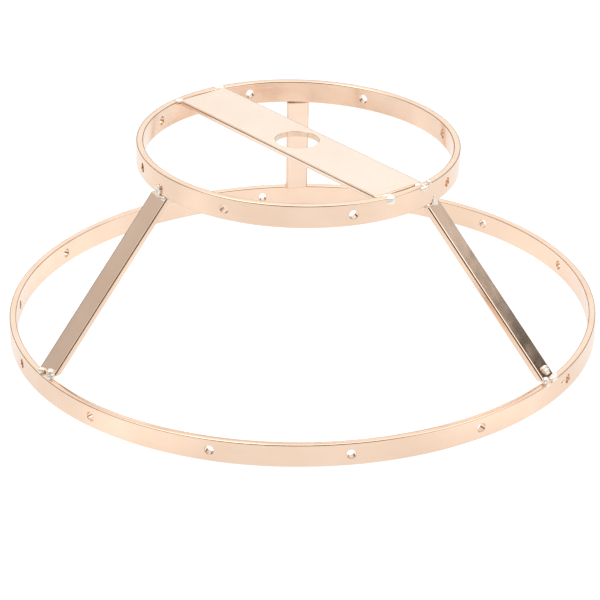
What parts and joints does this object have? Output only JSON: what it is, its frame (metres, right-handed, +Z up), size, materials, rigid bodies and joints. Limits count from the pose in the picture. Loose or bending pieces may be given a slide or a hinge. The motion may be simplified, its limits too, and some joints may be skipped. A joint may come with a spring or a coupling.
{
  "type": "wreath frame",
  "caption": "Two-tier welded flat-bar wreath frame: wide drilled lower ring, small drilled upper ring, leaning struts and a flat strap with a centre hole across the top.",
  "frame": {"origin": "centre of the lower ring, on the surface the frame stands on", "axes": "+Z up through both rings; the front of the frame faces -Y, with a strut at the back near +Y"},
  "size_m": [0.3, 0.3, 0.1057],
  "materials": {
    "plated_bar": "polished rose-gold plate over steel flat bar",
    "plated_strap": "satin rose-gold plate over steel strap",
    "weld_metal": "bright plated weld beads, smooth and lumpy"
  },
  "bodies": {
    "root": {"lower_ring": "plated_bar", "upper_ring": "plated_bar", "strut_left": "plated_bar", "strut_right": "plated_bar", "strut_back": "plated_bar", "cross_strap": "plated_strap", "weld_left_foot_a": "weld_metal", "weld_left_foot_b": "weld_metal", "weld_left_head_a": "weld_metal", "weld_left_head_b": "weld_metal", "weld_right_foot_a": "weld_metal", "weld_right_foot_b": "weld_metal", "weld_right_foot_c": "weld_metal", "weld_right_head_a": "weld_metal", "weld_right_head_b": "weld_metal", "weld_back_foot_a": "weld_metal", "weld_back_foot_b": "weld_metal", "weld_back_head_a": "weld_metal", "weld_back_head_b": "weld_metal", "weld_strap_front_a": "weld_metal", "weld_strap_front_b": "weld_metal", "weld_strap_front_c": "weld_metal", "weld_strap_rear_a": "weld_metal", "weld_strap_rear_b": "weld_metal", "seam_weld_lower": "weld_metal", "seam_weld_upper": "weld_metal"}
  },
  "joints": []
}
